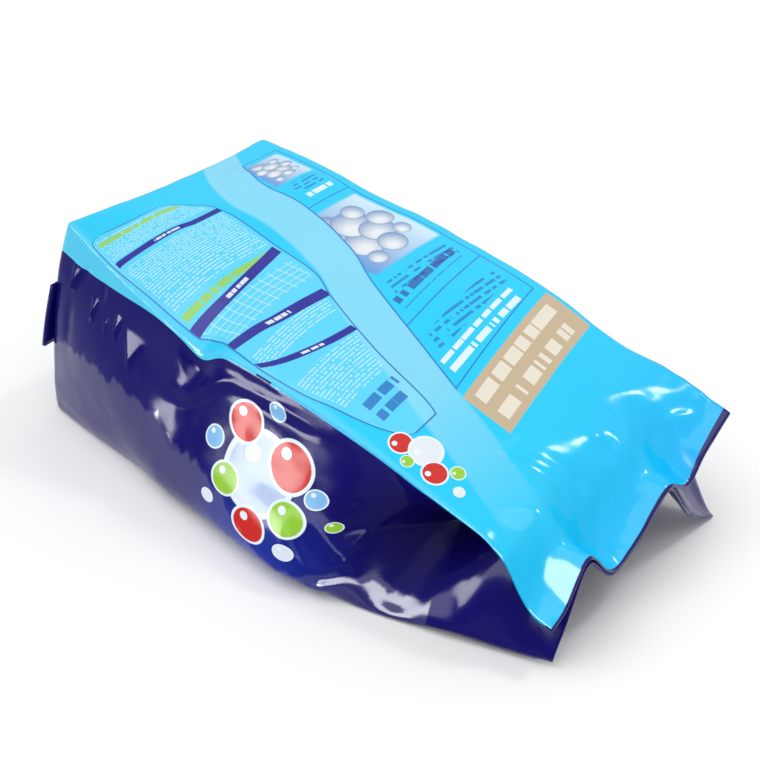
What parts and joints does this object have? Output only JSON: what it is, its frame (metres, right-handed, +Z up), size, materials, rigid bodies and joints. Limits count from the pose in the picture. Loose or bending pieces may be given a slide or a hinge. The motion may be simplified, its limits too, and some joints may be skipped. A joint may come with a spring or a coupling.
{
  "type": "detergent refill pouch",
  "caption": "Side-gusseted film pouch of powder detergent, filled and sealed, lying on its front panel with the seal flaps splayed.",
  "frame": {"origin": "middle of the pouch's outline from above, on the surface that it lies on", "axes": "+X from the bottom end to the top seal, +Z up from the front panel to the back panel"},
  "size_m": [0.3726, 0.2246, 0.1341],
  "materials": {
    "film": "glossy printed film"
  },
  "bodies": {
    "root": {"pouch": "film"}
  },
  "joints": []
}
